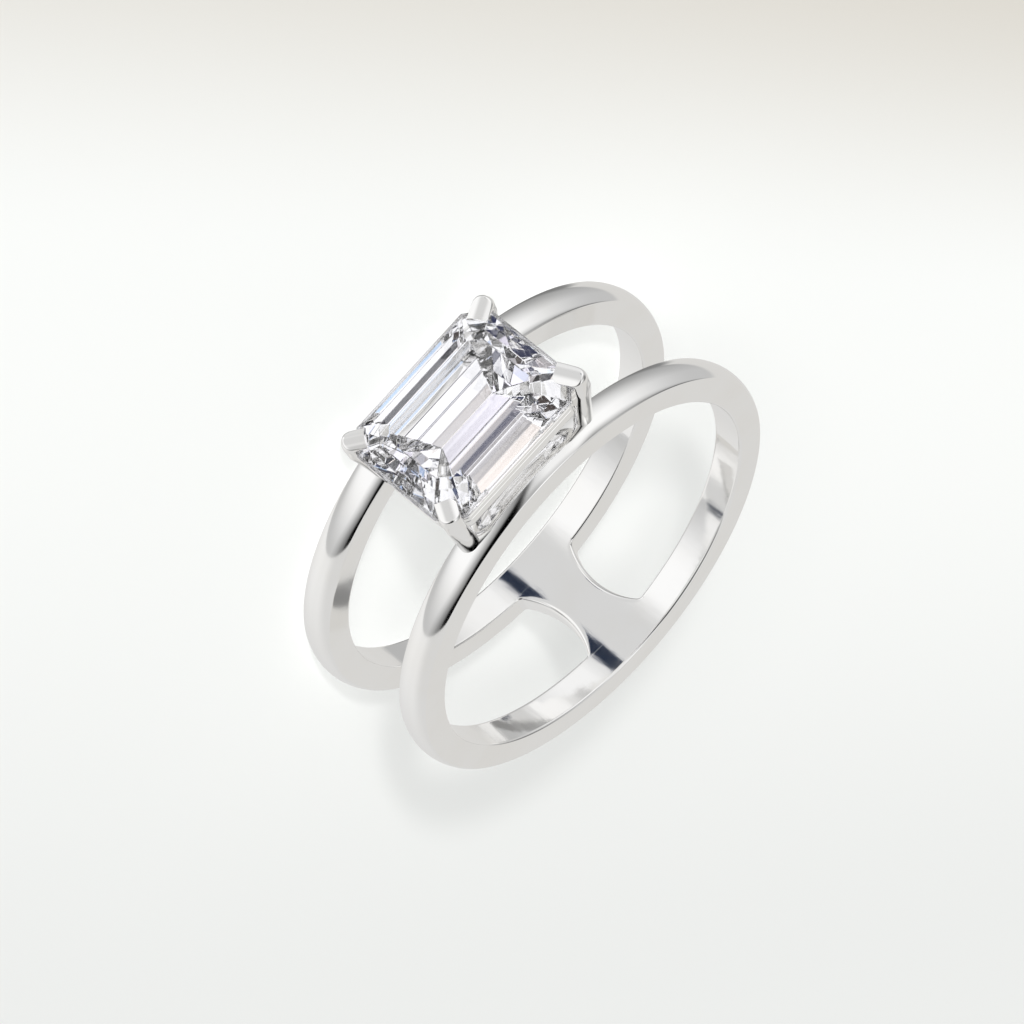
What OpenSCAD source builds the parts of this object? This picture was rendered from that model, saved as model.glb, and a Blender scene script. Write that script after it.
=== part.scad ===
// A two-band ring with an emerald cut stone held by four claws.
// The ring lies on its side: Z runs along the finger hole, the stone faces -Y.
// Sizes are in millimetres.

/* [Finger hole] */
// Diameter of the finger hole
hole_d = 17.3; // [16.5:0.1:18.1]

/* [Bands] */
// Width of each band, measured along the finger
band_w = 1.5; // [1.35:0.05:1.8]
// Clear gap between the two bands
band_gap = 4.1; // [4.05:0.05:4.4]
// Thickness of a band at its flat sides
band_t = 1.21; // [1.1:0.01:1.4]
// How far the rounded outside stands above the flat sides' edge
band_dome = 0.22; // [0.12:0.01:0.3]

/* [Bridge] */
// Half width of the bridge at its narrowest
bridge_half = 1.08; // [0.8:0.02:1.6]
// Radius of the bridge's hollow sides
bridge_hollow_r = 4; // [3:0.1:8]

/* [Stone] */
// Length of the stone, across the finger
stone_len = 8.06; // [7.6:0.02:8.2]
// Width of the stone, along the finger
stone_wid = 6.24; // [6:0.02:6.4]
// Distance from the finger hole's axis to the stone's girdle
girdle_h = 12.28; // [12.1:0.01:12.6]
// Height of the crown above the girdle
crown_h = 0.69; // [0.5:0.01:0.8]
// Depth of the pavilion below the girdle
pavilion_h = 3.05; // [2.8:0.01:3.1]

/* [Claws and gallery] */
// Radius of a claw where it stands on its band
claw_foot_r = 0.42; // [0.38:0.01:0.46]
// Radius of a claw at its bend beside the stone
claw_bend_r = 0.4; // [0.36:0.01:0.46]
// Radius of a claw's tip on the stone's corner
claw_tip_r = 0.32; // [0.28:0.01:0.36]
// Height of the gallery rail under the stone
rail_h = 1.15; // [0.9:0.05:1.3]
// Thickness of the gallery rail
rail_t = 0.46; // [0.4:0.01:0.6]

/* [Hidden] */
$fn = 96;

hole_r = hole_d / 2;
ring_w = 2 * band_w + band_gap;
mid_z = ring_w / 2;
side_r = hole_r + band_t;
crest_r = side_r + band_dome;
half_w = band_w / 2;
// Radius of the arc that rounds a band's outside
dome_r = (half_w * half_w + band_dome * band_dome) / (2 * band_dome);
dome_mid_r = crest_r - dome_r;
// Pieces of one casting are sunk this far into each other
sink = 0.05;
// Half width of the bridge at its ends, and the thickness of the block that it is cut from
bridge_end_half = bridge_half + half_w;
bridge_block = 4 * band_t;
// How far the bridge's inside stands back from the bands' inside walls
bridge_relief = 0.03;

// The stone: its girdle, table and keel
girdle_t = 0.12;
half_len = stone_len / 2;
half_wid = stone_wid / 2;
corner = 0.9;
table_len_share = 0.69;
table_wid_share = 0.58;
table_len = table_len_share * half_len;
table_wid = table_wid_share * half_wid;
table_corner = 0.5;
keel_share = 0.375;
keel_half = keel_share * half_len;
// How much of a corner's cut is gone where the pavilion reaches the keel
keel_corner_loss = 0.9;
// Slack left all round the stone
slack = 0.03;

// Crown layers as shares of the way from girdle to table: run and rise
crown_run = [0.38, 0.7, 1];
crown_rise = [0.46, 0.8, 1];
// Pavilion layers as shares of the way from girdle to keel: run and drop
pavilion_run = [0.269, 0.722];
pavilion_drop = [0.327, 0.763];

// Heights from the finger hole's axis at which a claw starts and bends
claw_foot_h = 8.95;
claw_bend_h = girdle_h + 0.2;
// How far a claw's foot stands from the middle between the bands
claw_foot_z = band_gap / 2 + 0.57;
// How far a claw's tip rises
claw_lift = 0.05;
// How much a claw's round ends stand out from its rods
claw_step = 0.015;
// Each claw, bent by hand: its side along X, its side along Z, how far out along X its foot stands,
// how far its bend stays inside the stone's length and width, the turn of its tip in degrees and its length
claws = [
    [1, 1, 3.45, 0.42, 0.36, 60, 0.49],
    [-1, 1, 3.3, 0.03, 0.36, 66, 0.72],
    [1, -1, 3.3, 0.23, 0.35, 39, 0.42],
    [-1, -1, 3.3, 0.04, 0.56, 26, 0.54]
];
// Height of the flat that is filed on a claw's tip
claw_flat = girdle_h + 0.49;

rail_top = girdle_h - 0.16;
rail_inset = 0.1;
rail_corner = 0.85;

// One layer of the stone as eight points, at height y from the finger hole's axis
function layer(a, b, c, y) = [
    [a, -y, b - c],
    [a - c, -y, b],
    [c - a, -y, b],
    [-a, -y, b - c],
    [-a, -y, c - b],
    [c - a, -y, -b],
    [a - c, -y, -b],
    [a, -y, c - b]
];

// A value part of the way from p to q
function part_way(p, q, share) = p + (q - p) * share;

// Faces that join layer k to the next one
function belt(k) = [
    for (i = [0 : 7])
        [8 * k + i, 8 * k + (i + 1) % 8, 8 * k + 8 + (i + 1) % 8, 8 * k + 8 + i]
];

// The stone's points, grown all round by g, from the table down to the keel
function stone_points(g) = concat(
    [
        for (k = [2, 1, 0])
            for (p = layer(
                part_way(half_len, table_len, crown_run[k]) + g,
                part_way(half_wid, table_wid, crown_run[k]) + g,
                part_way(corner, table_corner, crown_run[k]),
                girdle_h + girdle_t / 2 + crown_h * crown_rise[k] + g))
                p
    ],
    layer(half_len + g, half_wid + g, corner, girdle_h + girdle_t / 2 + g),
    layer(half_len + g, half_wid + g, corner, girdle_h - girdle_t / 2 - g),
    [
        for (k = [0, 1])
            for (p = layer(
                part_way(half_len, keel_half, pavilion_run[k]) + g,
                part_way(half_wid, 0, pavilion_run[k]) + g,
                corner * (1 - keel_corner_loss * pavilion_run[k]),
                girdle_h - girdle_t / 2 - pavilion_h * pavilion_drop[k] - g))
                p
    ],
    [
        [keel_half, -(girdle_h - girdle_t / 2 - pavilion_h - g), 0],
        [-keel_half, -(girdle_h - girdle_t / 2 - pavilion_h - g), 0]
    ]
);

// Index of the last full layer, and of the keel's two ends
last = 6;
keel_a = 8 * last + 8;
keel_b = keel_a + 1;

stone_faces = concat(
    [[7, 6, 5, 4, 3, 2, 1, 0]],
    [for (k = [0 : last - 1]) for (f = belt(k)) f],
    [
        [8 * last, 8 * last + 1, keel_a],
        [8 * last + 1, 8 * last + 2, keel_b, keel_a],
        [8 * last + 2, 8 * last + 3, keel_b],
        [8 * last + 3, 8 * last + 4, keel_b],
        [8 * last + 4, 8 * last + 5, keel_b],
        [8 * last + 5, 8 * last + 6, keel_a, keel_b],
        [8 * last + 6, 8 * last + 7, keel_a],
        [8 * last + 7, 8 * last, keel_a]
    ]
);

module stone_solid(g) {
    polyhedron(points = stone_points(g), faces = stone_faces);
}

// Flat sides, a straight inside wall and a rounded outside
module band_profile() {
    intersection() {
        translate([hole_r, -half_w])
            square([crest_r - hole_r + sink, band_w]);
        translate([dome_mid_r, 0])
            circle(r = dome_r, $fn = 180);
    }
}

module band() {
    color("silver")
        rotate_extrude($fn = 180)
            band_profile();
}

// The plate that joins the two bands opposite the stone
module bridge() {
    color("silver")
        intersection() {
            difference() {
                cylinder(r = side_r, h = band_gap + 2 * sink, center = true, $fn = 180);
                cylinder(r = hole_r + bridge_relief, h = ring_w, center = true, $fn = 180);
            }
            difference() {
                translate([0, side_r, 0])
                    cube([2 * bridge_end_half, bridge_block, ring_w], center = true);
                for (side = [-1, 1])
                    translate([side * (bridge_half + bridge_hollow_r), side_r, 0])
                        rotate([90, 0, 0])
                            cylinder(r = bridge_hollow_r, h = 2 * bridge_block, center = true, $fn = 180);
            }
        }
}

// A round rod from p to q
module rod(p, q, r1, r2) {
    d = q - p;
    len = norm(d);
    translate(p)
        rotate([0, acos(d[2] / len), atan2(d[1], d[0])])
            cylinder(r1 = r1, r2 = r2, h = len);
}

// One claw: its foot in the band, a bend beside the stone and a tip turned in over the stone's corner
module claw(foot_x, inset_x, inset_z, turn, reach) {
    foot = [foot_x, -claw_foot_h, claw_foot_z];
    bend = [half_len - inset_x, -claw_bend_h, half_wid - inset_z];
    tip = bend - [reach * cos(turn), claw_lift, reach * sin(turn)];
    color("silver")
        difference() {
            union() {
                rod(foot, bend, claw_foot_r, claw_bend_r - claw_step);
                translate(bend)
                    sphere(r = claw_bend_r);
                rod(bend, tip, claw_bend_r - claw_step, claw_tip_r - claw_step);
                translate(tip)
                    sphere(r = claw_tip_r);
            }
            translate([bend[0], -claw_flat - claw_bend_r, bend[2]])
                cube([4 * reach, 2 * claw_bend_r, 4 * reach], center = true);
        }
}

module rail_outline(a, b, c) {
    polygon([
        [a, b - c],
        [a - c, b],
        [c - a, b],
        [-a, b - c],
        [-a, c - b],
        [c - a, -b],
        [a - c, -b],
        [a, c - b]
    ]);
}

// The rail that runs round under the stone from claw to claw
module gallery_rail() {
    a = half_len - rail_inset;
    b = half_wid - rail_inset;
    color("silver")
        translate([0, -rail_top, 0])
            rotate([-90, 0, 0])
                linear_extrude(height = rail_h)
                    difference() {
                        rail_outline(a, b, rail_corner);
                        rail_outline(a - rail_t, b - rail_t, rail_corner - rail_t / 2);
                    }
}

// The metal: two bands, a bridge, a gallery rail and four claws, cast as one piece
module ring() {
    difference() {
        union() {
            for (side = [-1, 1])
                translate([0, 0, mid_z + side * (band_gap + band_w) / 2])
                    band();
            translate([0, 0, mid_z])
                bridge();
            translate([0, 0, mid_z])
                gallery_rail();
            for (c = claws)
                translate([0, 0, mid_z])
                    mirror([(1 - c[0]) / 2, 0, 0])
                        mirror([0, 0, (1 - c[1]) / 2])
                            claw(c[2], c[3], c[4], c[5], c[6]);
        }
        translate([0, 0, mid_z])
            stone_solid(slack);
    }
}

// The stone: a flat table, a stepped crown, a thin girdle and a stepped pavilion down to a keel
module stone() {
    color("aliceblue")
        translate([0, 0, mid_z])
            stone_solid(0);
}

ring();
stone();
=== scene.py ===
"""A polished silver ring with two bands and a step cut stone, lying on its side on a pale floor."""

import logging
import math
from dataclasses import dataclass
from enum import Enum
from typing import Any, Sequence

import bmesh
import bpy
import numpy as np
from mathutils import Matrix, Vector


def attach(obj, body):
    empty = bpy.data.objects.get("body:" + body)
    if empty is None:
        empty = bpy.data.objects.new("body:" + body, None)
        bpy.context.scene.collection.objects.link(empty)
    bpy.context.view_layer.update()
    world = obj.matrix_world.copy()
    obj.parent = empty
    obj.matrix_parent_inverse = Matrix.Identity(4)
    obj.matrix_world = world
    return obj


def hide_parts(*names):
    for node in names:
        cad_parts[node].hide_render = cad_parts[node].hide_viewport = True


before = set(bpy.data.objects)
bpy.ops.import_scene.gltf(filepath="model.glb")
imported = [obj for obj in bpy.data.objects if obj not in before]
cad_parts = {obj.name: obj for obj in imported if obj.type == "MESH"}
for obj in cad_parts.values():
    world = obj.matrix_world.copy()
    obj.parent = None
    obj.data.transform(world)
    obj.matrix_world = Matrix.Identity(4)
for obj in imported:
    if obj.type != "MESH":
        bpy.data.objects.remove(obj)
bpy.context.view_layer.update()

LOG = logging.getLogger("ring")
MM = 0.001
# Points closer than this are one, in millimetres
MERGE = 0.0002
# Slack round the stone in its seat, in millimetres
SLACK = 0.03
# Length of the straight bit that is kept beside a rounded edge, in millimetres
HOLD = 0.03
# Faces that meet at more than this keep their edge
SHARP = math.radians(35)
# Half the floor's width and its height, in millimetres
FLOOR_HALF = 900.0
FLOOR_Z = -0.01
# Brightness as a share of white becomes light by this power
GAMMA = 2.2
WHITE = (1.0, 1.0, 1.0)

Point = tuple[float, float, float]
Colour = tuple[float, float, float]
Span = tuple[float, float]


class Slot(Enum):
    """The record's material slots."""

    METAL = "polished_silver"
    GEM = "clear_stone"


# Node trees


class Term:
    """A node's output that reads as a value in Python expressions."""

    def __init__(self, graph: "Graph", socket: bpy.types.NodeSocket) -> None:
        """Keeps the tree and the socket."""
        self.graph = graph
        self.socket = socket

    def math(self, operation: str, *others: "Value") -> "Term":
        """The result of a Math node on this value and others."""
        inputs = dict(enumerate((self, *others)))
        return self.graph.node("ShaderNodeMath", {"operation": operation}, inputs).term()

    def __add__(self, other: "Value") -> "Term":
        """This value plus another."""
        return self.math("ADD", other)

    def __radd__(self, other: "Value") -> "Term":
        """Another value plus this one."""
        return self.math("ADD", other)

    def __sub__(self, other: "Value") -> "Term":
        """This value less another."""
        return self.math("SUBTRACT", other)

    def __rsub__(self, other: float) -> "Term":
        """A number less this value."""
        return self.math("MULTIPLY", -1.0) + other

    def __mul__(self, other: "Value") -> "Term":
        """This value times another."""
        return self.math("MULTIPLY", other)

    def __rmul__(self, other: "Value") -> "Term":
        """Another value times this one."""
        return self.math("MULTIPLY", other)

    def __truediv__(self, other: "Value") -> "Term":
        """This value over another."""
        return self.math("DIVIDE", other)

    def __pow__(self, other: "Value") -> "Term":
        """This value to a power."""
        return self.math("POWER", other)

    def at_least(self, low: float) -> "Term":
        """This value, or low if that is more."""
        return self.math("MAXIMUM", low)

    def step(self, start: float, end: float, smooth: bool = True) -> "Term":
        """Goes from 0 at start to 1 at end, which may be below start.

        Args:
            start: where the step starts.
            end: where it is complete.
            smooth: whether it starts and ends gently.

        Returns:
            A value from 0 to 1.
        """
        settings = {"interpolation_type": "SMOOTHSTEP" if smooth else "LINEAR", "clamp": True}
        inputs = {"Value": self, "From Min": start, "From Max": end, "To Min": 0.0, "To Max": 1.0}
        return self.graph.node("ShaderNodeMapRange", settings, inputs).term()


Value = Term | float


class Placed:
    """A node that has been added to a tree."""

    def __init__(self, graph: "Graph", node: bpy.types.Node) -> None:
        """Keeps the tree and the node."""
        self.graph = graph
        self.node = node

    def term(self, output: int | str = 0) -> Term:
        """One of the node's outputs as a value."""
        return Term(self.graph, self.node.outputs[output])


class Graph:
    """A node tree with one short way to add any node."""

    def __init__(self, tree: bpy.types.NodeTree) -> None:
        """Empties the tree and keeps it."""
        tree.nodes.clear()
        self.tree = tree

    def node(
        self,
        kind: str,
        settings: dict[str, Any] | None = None,
        inputs: dict[int | str, Any] | None = None,
    ) -> Placed:
        """Adds a node.

        Args:
            kind: the node's type.
            settings: its own properties, set before anything else.
            inputs: values or links of its sockets, by name or place.

        Returns:
            The node that was added.
        """
        node = self.tree.nodes.new(kind)
        for name, value in (settings or {}).items():
            setattr(node, name, value)
        for key, value in (inputs or {}).items():
            if isinstance(value, Placed):
                value = value.term()
            if isinstance(value, Term):
                self.tree.links.new(value.socket, node.inputs[key])
            else:
                node.inputs[key].default_value = value
        return Placed(self, node)

    def vector(self, operation: str, inputs: dict[int | str, Any], output: int | str = 0) -> Term:
        """One output of a Vector Math node."""
        return self.node("ShaderNodeVectorMath", {"operation": operation}, inputs).term(output)

    def noise(self, at: Term, scale: float, detail: float = 2.0) -> Term:
        """Cloudy noise from 0 to 1 with finer layers in it, read at a place."""
        inputs = {"Vector": at, "Scale": scale, "Detail": detail}
        return self.node("ShaderNodeTexNoise", inputs=inputs).term("Fac")

    def blend(self, share: "Value", first: Any, second: Any, how: str = "MIX") -> Term:
        """Mixes two colours.

        Args:
            share: how much of the second is mixed in, from 0 to 1.
            first: the first colour, as numbers or a Term.
            second: the second colour.
            how: the way in which they are mixed.

        Returns:
            The mixed colour.
        """
        settings = {"data_type": "RGBA", "blend_type": how}
        inputs = {"Factor": share, "A": opaque(first), "B": opaque(second)}
        return self.node("ShaderNodeMix", settings, inputs).term("Result")

    def named(self, title: str, kind: str = "FLOAT") -> Term:
        """Reads a named attribute of the geometry."""
        return self.node("GeometryNodeInputNamedAttribute", {"data_type": kind}, {"Name": title}).term()

    def split(self, vector: Term) -> tuple[Term, Term, Term]:
        """A vector's three parts."""
        parts = self.node("ShaderNodeSeparateXYZ", inputs={"Vector": vector})
        return parts.term("X"), parts.term("Y"), parts.term("Z")

    def join(self, x: Value, y: Value, z: Value = 0.0) -> Term:
        """A vector from its three parts."""
        return self.node("ShaderNodeCombineXYZ", inputs={"X": x, "Y": y, "Z": z}).term()


def opaque(colour: Any) -> Any:
    """A colour's three numbers with a full alpha; a Term stays as it is."""
    return colour if isinstance(colour, Term) else (*colour, 1.0)


def part_way(first: Any, second: Any, share: Any) -> Any:
    """A number or Term moved by a share of the way to another."""
    return first + (second - first) * share


class Sweep:
    """Geometry Nodes that sweep a closed section along every path of an object, once per copy.

    The object's edges are the paths. Each of their points carries the direction that the section's
    first axis takes there, how thick the sweep is there and how square its section is. An oval
    section becomes square by pushing its corners out to a rounded square. A swept piece can be
    filed: nothing of it then stands higher than a flat that is crowned across each path.
    """

    SIDE = "side"
    THICK = "thick"
    MIDDLE = "middle"
    BOXED = "boxed"

    def __init__(self, name: str) -> None:
        """Builds the tree with its named inputs.

        Args:
            name: the tree's name.
        """
        self.tree = bpy.data.node_groups.new(name, "GeometryNodeTree")
        graph = Graph(self.tree)
        face = self.tree.interface
        for title, kind in (
            ("Path", "NodeSocketGeometry"),
            ("Section", "NodeSocketObject"),
            ("Copies", "NodeSocketInt"),
            ("Pitch", "NodeSocketVector"),
            ("Closed ends", "NodeSocketBool"),
            ("Filed height", "NodeSocketFloat"),
            ("Filed blend", "NodeSocketFloat"),
            ("Filed crown", "NodeSocketFloat"),
            ("Finish", "NodeSocketMaterial"),
        ):
            face.new_socket(name=title, in_out="INPUT", socket_type=kind)
        face.new_socket(name="Mesh", in_out="OUTPUT", socket_type="NodeSocketGeometry")
        given = graph.node("NodeGroupInput")
        path = graph.node("GeometryNodeMeshToCurve", inputs={"Mesh": given.term("Path")})
        side = graph.named(self.SIDE, "FLOAT_VECTOR")
        path = graph.node("GeometryNodeSetCurveNormal", {"mode": "FREE"}, {"Curve": path, "Normal": side})
        thick = graph.named(self.THICK)
        path = graph.node("GeometryNodeSetCurveRadius", inputs={"Curve": path, "Radius": thick})
        section = graph.node("GeometryNodeObjectInfo", inputs={"Object": given.term("Section")})
        outline = graph.node("GeometryNodeMeshToCurve", inputs={"Mesh": section.term("Geometry")})
        swept = graph.node(
            "GeometryNodeCurveToMesh",
            inputs={"Curve": path, "Profile Curve": outline, "Fill Caps": given.term("Closed ends")},
        )
        places = graph.node(
            "GeometryNodeMeshLine", inputs={"Count": given.term("Copies"), "Offset": given.term("Pitch")}
        )
        copies = graph.node("GeometryNodeInstanceOnPoints", inputs={"Points": places, "Instance": swept})
        whole = graph.node("GeometryNodeRealizeInstances", inputs={"Geometry": copies})
        middle = graph.named(self.MIDDLE, "FLOAT_VECTOR")
        off = graph.vector("SUBTRACT", {0: graph.node("GeometryNodeInputPosition"), 1: middle})
        across = graph.vector("DOT_PRODUCT", {0: off, 1: side}, "Value")
        far = graph.vector("LENGTH", {0: off}, "Value")
        part = (across * across) / (far * far)
        rest = 1 - part
        # The rounded square is the curve of sixth powers
        square = (part * part * part + rest * rest * rest) ** (-1 / 6)
        out = 1 + graph.named(self.BOXED) * (square - 1)
        spread = graph.vector("SCALE", {0: off, "Scale": out})
        x, y, z = graph.split(graph.vector("ADD", {0: middle, 1: spread}))
        level = given.term("Filed height") + across * across * given.term("Filed crown")
        place = graph.join(x, y.math("SMOOTH_MAX", level, given.term("Filed blend")), z)
        whole = graph.node("GeometryNodeSetPosition", inputs={"Geometry": whole, "Position": place})
        whole = graph.node("GeometryNodeSetShadeSmooth", inputs={"Geometry": whole})
        whole = graph.node(
            "GeometryNodeSetMaterial", inputs={"Geometry": whole, "Material": given.term("Finish")}
        )
        graph.node("NodeGroupOutput", inputs={"Mesh": whole})

    def run(self, path: bpy.types.Object, section: bpy.types.Object, finish: bpy.types.Material,
            **inputs: Any) -> bpy.types.Object:
        """Sweeps the section and keeps the result as a plain mesh.

        Args:
            path: the object whose edges are the paths; it becomes the finished piece.
            section: the object whose edges are the closed section.
            finish: the piece's material.
            inputs: the tree's inputs that differ from a plain sweep, with underscores for spaces.

        Returns:
            The path's object, now holding the swept mesh.
        """
        modifier = path.modifiers.new("sweep", "NODES")
        modifier.node_group = self.tree
        sockets = [item for item in self.tree.interface.items_tree if item.in_out == "INPUT"]
        names = {item.name: item.identifier for item in sockets}
        plain = {"Copies": 1, "Pitch": (0.0, 0.0, 0.0), "Closed_ends": False}
        unfiled = {"Filed_height": -1.0, "Filed_blend": 0.0, "Filed_crown": 0.0}
        values = {**plain, **unfiled, **inputs, "Section": section, "Finish": finish}
        for title, value in values.items():
            modifier[names[title.replace("_", " ")]] = value
        mesh = settle(path)
        bpy.data.objects.remove(section)
        close_up(mesh)
        return path


# Meshes


def mesh_object(name: str, points: Sequence[Sequence[float]], edges: Sequence[Sequence[int]] = (),
                faces: Sequence[Sequence[int]] = ()) -> bpy.types.Object:
    """Makes an object from points in millimetres.

    Args:
        name: the object's name.
        points: its points.
        edges: its loose edges.
        faces: its faces.

    Returns:
        The object, at the origin.
    """
    mesh = bpy.data.meshes.new(name)
    scaled = (np.asarray(points, float) * MM).tolist()
    mesh.from_pydata(scaled, [tuple(e) for e in edges], [tuple(f) for f in faces])
    mesh.update()
    piece = bpy.data.objects.new(name, mesh)
    bpy.context.scene.collection.objects.link(piece)
    return piece


def belts(first: int, last: int, count: int) -> list[tuple[int, ...]]:
    """The faces that join each ring of points to the next.

    Args:
        first: index of the first ring's first point.
        last: index of the last ring's first point.
        count: how many points a ring has.

    Returns:
        The faces, as indices of points.
    """
    return [
        (k + i, k + (i + 1) % count, k + count + (i + 1) % count, k + count + i)
        for k in range(first, last, count) for i in range(count)
    ]


def settle(piece: bpy.types.Object) -> bpy.types.Mesh:
    """Turns an object's evaluated shape into its plain mesh and removes its modifiers.

    Args:
        piece: the object.

    Returns:
        Its new mesh.
    """
    bpy.context.view_layer.update()
    graph = bpy.context.evaluated_depsgraph_get()
    mesh = bpy.data.meshes.new_from_object(piece.evaluated_get(graph), depsgraph=graph)
    piece.modifiers.clear()
    piece.data = mesh
    mesh.name = piece.name
    return mesh


def close_up(mesh: bpy.types.Mesh) -> None:
    """Merges doubled points and turns all faces outwards.

    Args:
        mesh: the mesh, which is changed.
    """
    shell = bmesh.new()
    shell.from_mesh(mesh)
    bmesh.ops.remove_doubles(shell, verts=shell.verts, dist=MERGE * MM)
    bmesh.ops.recalc_face_normals(shell, faces=shell.faces)
    shell.to_mesh(mesh)
    shell.free()
    mesh.update()


def path_object(name: str, paths: Sequence[np.ndarray], sides: Sequence[Sequence[Point]],
                thick: Sequence[Sequence[float]], boxed: Sequence[Sequence[float]],
                closed: bool) -> bpy.types.Object:
    """Makes the object that a sweep follows.

    Args:
        name: the finished piece's name.
        paths: the points of each path, in millimetres.
        sides: the direction of the section's first axis at each point.
        thick: the section's scale at each point.
        boxed: how square the section is at each point, from 0 as drawn to 1.
        closed: whether each path's end joins its start.

    Returns:
        The object, with one edge from each point to the next.
    """
    edges = []
    start = 0
    for path in paths:
        count = len(path)
        edges += [(start + i, start + i + 1) for i in range(count - 1)]
        if closed:
            edges.append((start + count - 1, start))
        start += count
    piece = mesh_object(name, np.concatenate(paths), edges)
    middle = piece.data.attributes.new(Sweep.MIDDLE, "FLOAT_VECTOR", "POINT")
    middle.data.foreach_set("vector", (np.concatenate(paths) * MM).ravel())
    side = piece.data.attributes.new(Sweep.SIDE, "FLOAT_VECTOR", "POINT")
    side.data.foreach_set("vector", np.concatenate([np.asarray(s, float) for s in sides]).ravel())
    for title, values in ((Sweep.THICK, thick), (Sweep.BOXED, boxed)):
        layer = piece.data.attributes.new(title, "FLOAT", "POINT")
        layer.data.foreach_set("value", np.concatenate([np.asarray(v, float) for v in values]))
    return piece


def section_object(name: str, outline: Sequence[Sequence[float]]) -> bpy.types.Object:
    """Makes the closed section that a sweep carries along its paths.

    Args:
        name: the object's name.
        outline: its points, in millimetres.

    Returns:
        The object, with one edge from each point to the next.
    """
    count = len(outline)
    points = [(x, y, 0.0) for x, y in outline]
    return mesh_object(name, points, [(i, (i + 1) % count) for i in range(count)])


def arc(centre: Sequence[float], radius: float, start: float, end: float,
        steps: int) -> list[tuple[float, float]]:
    """Points on an arc from a start angle to an end angle, in degrees, both ends included."""
    turns = np.radians(np.linspace(start, end, steps + 1))
    return [(centre[0] + radius * math.cos(a), centre[1] + radius * math.sin(a)) for a in turns]


def octagon(a: float, b: float, c: float) -> list[tuple[float, float]]:
    """A rectangle with its corners cut.

    Args:
        a: half its length.
        b: half its width.
        c: how far its corners are cut.

    Returns:
        Its eight corners, in order.
    """
    quarter = [(a, b - c), (a - c, b)]
    half = quarter + [(-x, y) for x, y in reversed(quarter)]
    return half + [(x, -y) for x, y in reversed(half)]


def rounded(points: Sequence[Sequence[float]], radii: Sequence[float], steps: int,
            hold: float) -> list[tuple[float, float]]:
    """Rounds the corners of a closed outline.

    Args:
        points: the outline's corners, in order.
        radii: the radius of each corner.
        steps: how many steps each rounding is cut into.
        hold: how far beyond a rounding an extra point keeps the next side straight.

    Returns:
        The rounded outline's points.
    """
    out: list[tuple[float, float]] = []
    count = len(points)
    for i in range(count):
        p = np.asarray(points[i], float)
        a = np.asarray(points[i - 1], float) - p
        b = np.asarray(points[(i + 1) % count], float) - p
        a /= np.linalg.norm(a)
        b /= np.linalg.norm(b)
        half = 0.5 * math.acos(float(np.clip(a @ b, -1, 1)))
        back = radii[i] / math.tan(half)
        middle = p + (a + b) / np.linalg.norm(a + b) * radii[i] / math.sin(half)
        out.append(tuple(p + a * (back + hold)))
        first, last = p + a * back - middle, p + b * back - middle
        sweep = math.atan2(first[0] * last[1] - first[1] * last[0], first @ last)
        for t in np.linspace(0, sweep, steps + 1):
            c, s = math.cos(t), math.sin(t)
            out.append(tuple(middle + (first[0] * c - first[1] * s, first[0] * s + first[1] * c)))
        out.append(tuple(p + b * (back + hold)))
    return out


# Finishes


def blank_material(name: str) -> tuple[bpy.types.Material, Graph, Term]:
    """Starts a material.

    Args:
        name: its name.

    Returns:
        The material, its empty tree and the place on the piece that it shades.
    """
    made = bpy.data.materials.new(name)
    made.use_nodes = True
    graph = Graph(made.node_tree)
    return made, graph, graph.node("ShaderNodeTexCoord").term("Object")


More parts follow.
